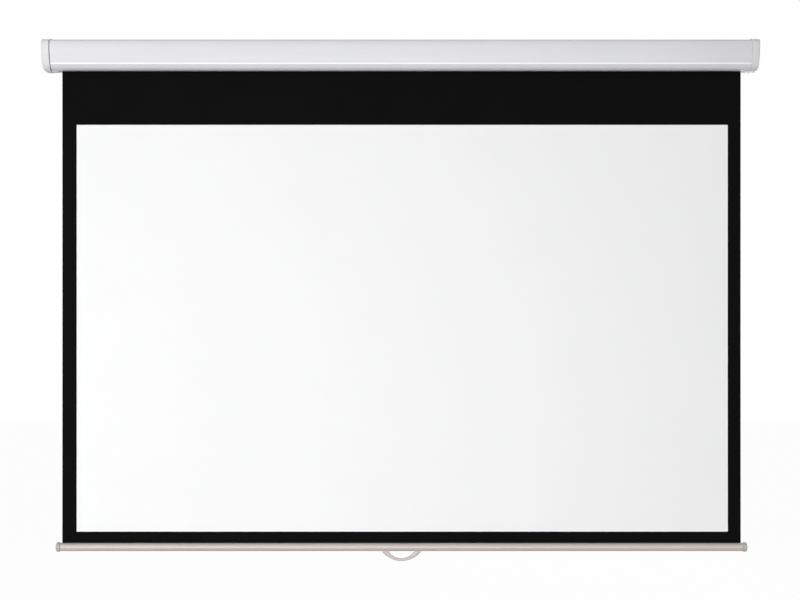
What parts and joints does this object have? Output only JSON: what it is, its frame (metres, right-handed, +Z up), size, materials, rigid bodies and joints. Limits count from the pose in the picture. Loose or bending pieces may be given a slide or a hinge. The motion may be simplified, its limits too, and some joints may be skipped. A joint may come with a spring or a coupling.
{
  "type": "pull-down projector screen",
  "caption": "Manual wall or ceiling projector screen: white case with a spring roller, a black-bordered white sheet, a round weight bar and a moulded pull handle.",
  "frame": {"origin": "middle of the case's flat back face, which rests on the wall", "axes": "+X along the case to the right as the viewer sees it, +Y into the wall, +Z up"},
  "size_m": [1.9749, 0.077, 1.4535],
  "materials": {
    "white_paint": "satin powder coat",
    "white_moulding": "satin moulded",
    "zinc_steel": "zinc plated",
    "dark_steel": "oiled",
    "spring_steel": "oiled",
    "nylon": "natural",
    "grey_moulding": "moulded",
    "satin_aluminium": "satin brushed",
    "black_fabric": "matt coated cloth",
    "white_fabric": "matt white",
    "handle_moulding": "satin moulded",
    "cap_moulding": "satin moulded"
  },
  "bodies": {
    "case": {"case_housing": "white_paint", "left_end_cap": "white_moulding", "right_end_cap": "white_moulding", "left_end_bracket": "zinc_steel", "right_end_bracket": "zinc_steel", "left_cap_screw_1": "zinc_steel", "left_cap_screw_2": "zinc_steel", "left_cap_screw_3": "zinc_steel", "left_cap_screw_4": "zinc_steel", "right_cap_screw_1": "zinc_steel", "right_cap_screw_2": "zinc_steel", "right_cap_screw_3": "zinc_steel", "right_cap_screw_4": "zinc_steel", "spindle": "dark_steel", "ratchet_collar": "dark_steel", "torsion_spring": "spring_steel", "spring_anchor": "dark_steel", "gudgeon_bush": "nylon", "black_backing": "black_fabric", "viewing_face": "white_fabric"},
    "roller": {"roller_tube": "zinc_steel", "fabric_turns": "black_fabric", "left_roller_plug": "grey_moulding", "right_roller_plug": "grey_moulding", "spindle_bush": "nylon", "bearing_plug": "grey_moulding", "gudgeon_pin": "dark_steel", "upper_pawl_stud": "dark_steel", "lower_pawl_stud": "dark_steel"},
    "upper_pawl": {"upper_pawl": "zinc_steel"},
    "lower_pawl": {"lower_pawl": "zinc_steel"},
    "bar": {"weight_bar": "satin_aluminium", "left_bar_cap": "cap_moulding", "right_bar_cap": "cap_moulding", "hem_spline": "nylon", "left_ballast_rod": "dark_steel", "right_ballast_rod": "dark_steel", "lower_border": "black_fabric", "left_handle_cradle": "grey_moulding", "right_handle_cradle": "grey_moulding", "left_handle_pin": "zinc_steel", "right_handle_pin": "zinc_steel"},
    "handle": {"pull_handle": "handle_moulding"}
  },
  "joints": [
    {"name": "screen_drop", "type": "slide", "parent": "case", "child": "bar", "axis": [0, 0, 1], "range_m": [0, 1.302], "deforming": ["black_backing", "viewing_face"]},
    {"name": "roller_spin", "type": "hinge", "parent": "case", "child": "roller", "pos_m": [0, -0.042, 0.004], "axis": [1, 0, 0], "range_deg": [0, 3420.1]},
    {"name": "upper_pawl_swing", "type": "hinge", "parent": "roller", "child": "upper_pawl", "pos_m": [-0.95825, -0.02727, 0.01087], "axis": [1, 0, 0], "range_deg": [-15, 11]},
    {"name": "lower_pawl_swing", "type": "hinge", "parent": "roller", "child": "lower_pawl", "pos_m": [-0.95825, -0.05673, -0.00287], "axis": [1, 0, 0], "range_deg": [-15, 11]},
    {"name": "handle_swing", "type": "hinge", "parent": "bar", "child": "handle", "pos_m": [0.0015, -0.02, -1.368], "axis": [1, 0, 0], "range_deg": [-25, 25]}
  ],
  "couplings": [
    {"joint": "roller_spin", "follows": "screen_drop", "rad_per_m": 45.845}
  ]
}
